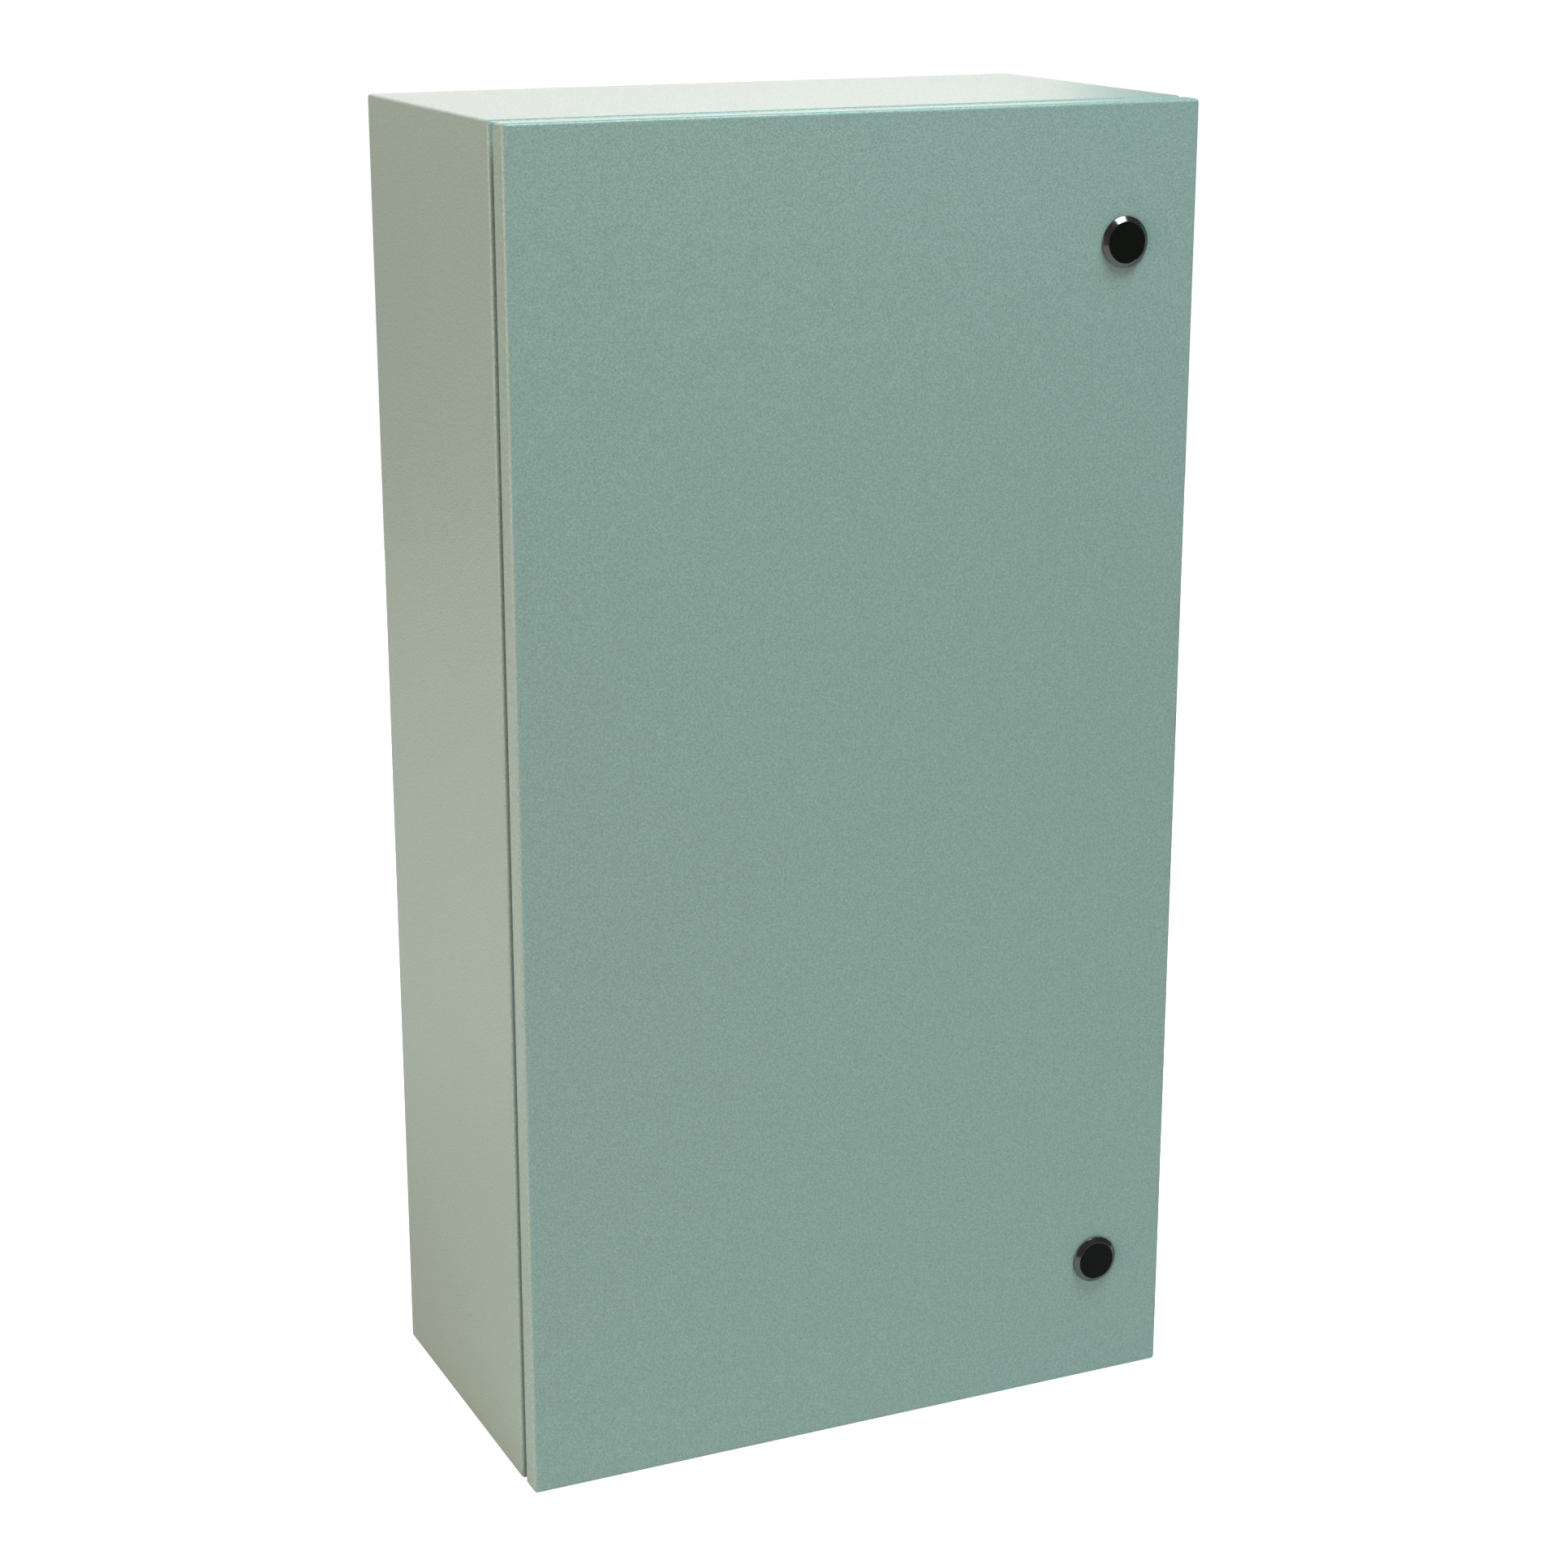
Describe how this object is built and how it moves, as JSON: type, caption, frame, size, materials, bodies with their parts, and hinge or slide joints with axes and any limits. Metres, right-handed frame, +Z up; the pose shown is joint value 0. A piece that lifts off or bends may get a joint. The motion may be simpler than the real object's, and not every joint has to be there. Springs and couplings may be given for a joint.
{
  "type": "wall-mounting switchboard cabinet",
  "caption": "Upright sheet-steel switchboard cabinet with a full-height hinged door on concealed hinges, quarter-turn cam locks, a mounting plate and a bottom gland plate.",
  "frame": {"origin": "in the rear plane, at the middle of the four wall holes", "axes": "+X to the right seen from the front, +Y towards the wall, +Z up"},
  "size_m": [0.4, 0.2194, 0.75],
  "materials": {
    "painted_steel": "sage grey-green powder coat, fine texture, satin",
    "galvanised_sheet": "hot-dip galvanised, faint spangle",
    "foam_gasket": "foamed, matt",
    "dark_chrome": "dark nickel, polished",
    "black_plastic": "moulded, matt",
    "zinc_casting": "zinc die casting, satin",
    "zinc_plated_steel": "bright zinc plated"
  },
  "bodies": {
    "enclosure": {"body_shell": "painted_steel", "rear_panel": "painted_steel", "mounting_plate": "galvanised_sheet", "mounting_plate_studs": "zinc_plated_steel", "mounting_plate_spacers": "zinc_plated_steel", "mounting_plate_washers": "zinc_plated_steel", "mounting_plate_nuts": "zinc_plated_steel", "gland_plate": "galvanised_sheet", "gland_plate_gasket": "foam_gasket", "gland_plate_studs": "zinc_plated_steel", "gland_plate_nuts": "zinc_plated_steel", "body_earth_stud": "zinc_plated_steel", "body_earth_washers": "zinc_plated_steel", "body_earth_nut": "zinc_plated_steel", "hinge_body_bracket_top": "zinc_casting", "hinge_body_bracket_middle": "zinc_casting", "hinge_body_bracket_bottom": "zinc_casting", "hinge_pins": "zinc_plated_steel", "hinge_clips": "zinc_plated_steel", "hinge_screws": "zinc_plated_steel"},
    "door": {"door_panel": "painted_steel", "door_gasket": "foam_gasket", "hinge_door_bracket_top": "zinc_casting", "hinge_door_bracket_middle": "zinc_casting", "hinge_door_bracket_bottom": "zinc_casting", "hinge_door_studs": "zinc_plated_steel", "hinge_door_nuts": "zinc_plated_steel", "stiffener_rail_left": "galvanised_sheet", "stiffener_rail_right": "galvanised_sheet", "rail_studs": "zinc_plated_steel", "rail_nuts": "zinc_plated_steel", "door_earth_stud": "zinc_plated_steel", "door_earth_washers": "zinc_plated_steel", "door_earth_nut": "zinc_plated_steel", "lock_housing_top": "dark_chrome", "lock_housing_bottom": "dark_chrome", "lock_seals": "foam_gasket", "lock_nuts": "zinc_plated_steel"},
    "lock_top": {"lock_rotor_top": "zinc_plated_steel", "lock_dust_cap_top": "black_plastic", "lock_cam_top": "zinc_plated_steel", "lock_clip_top": "zinc_plated_steel", "lock_cam_washer_top": "zinc_plated_steel", "lock_cam_screw_top": "zinc_plated_steel"},
    "lock_bottom": {"lock_rotor_bottom": "zinc_plated_steel", "lock_dust_cap_bottom": "black_plastic", "lock_cam_bottom": "zinc_plated_steel", "lock_clip_bottom": "zinc_plated_steel", "lock_cam_washer_bottom": "zinc_plated_steel", "lock_cam_screw_bottom": "zinc_plated_steel"}
  },
  "joints": [
    {"name": "door_hinge", "type": "hinge", "parent": "enclosure", "child": "door", "pos_m": [-0.1945, -0.206, 0], "axis": [0, 0, -1], "range_deg": [0, 120]},
    {"name": "lock_top_turn", "type": "hinge", "parent": "door", "child": "lock_top", "pos_m": [0.155, -0.216, 0.3], "axis": [0, -1, 0], "range_deg": [0, 90]},
    {"name": "lock_bottom_turn", "type": "hinge", "parent": "door", "child": "lock_bottom", "pos_m": [0.155, -0.216, -0.3], "axis": [0, -1, 0], "range_deg": [0, 90]}
  ]
}
